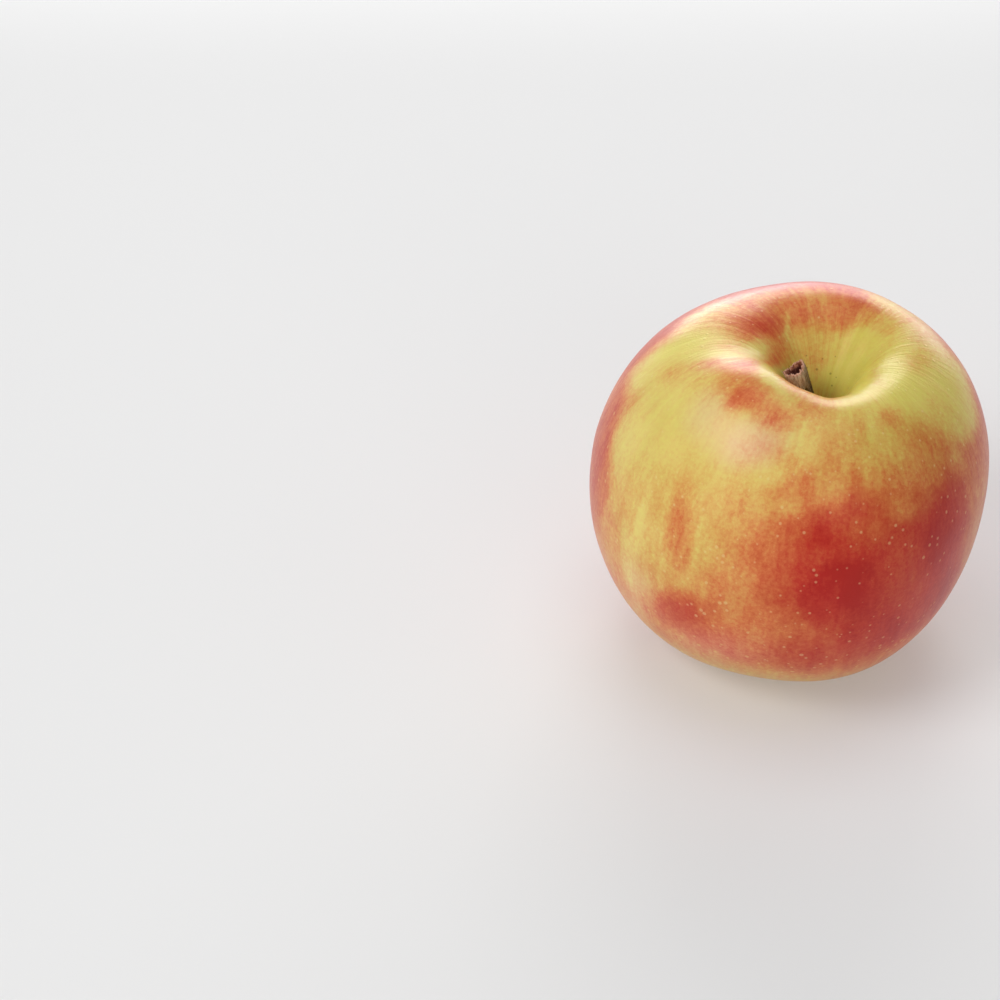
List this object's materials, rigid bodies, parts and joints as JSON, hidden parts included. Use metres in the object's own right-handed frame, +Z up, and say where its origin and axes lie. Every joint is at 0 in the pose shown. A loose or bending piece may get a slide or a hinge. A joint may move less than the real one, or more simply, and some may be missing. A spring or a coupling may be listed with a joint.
{
  "type": "apple",
  "caption": "Whole ripe apple, red-blushed over yellow-green, with a short woody stem in its cavity and a dried calyx underneath; stands upright on its basal lobes.",
  "frame": {"origin": "on the surface the apple stands on, under the middle of the fruit's plan", "axes": "+Z up along the core from the eye to the stem cavity; -Y is the side with the yellow flush and the low saddle of the rim; +X is to the right of that side"},
  "size_m": [0.0808, 0.0828, 0.0722],
  "materials": {
    "skin": "waxy fruit skin, satin gloss, red blush and streaks over yellow-green with pale lenticels",
    "stem": "rough dry woody stem",
    "sepal": "dry downy brown leaf",
    "stamen": "withered dark brown"
  },
  "bodies": {
    "root": {"fruit": "skin", "stem": "stem", "sepal_1": "sepal", "sepal_2": "sepal", "sepal_3": "sepal", "sepal_4": "sepal", "sepal_5": "sepal", "stamens": "stamen"}
  },
  "joints": []
}
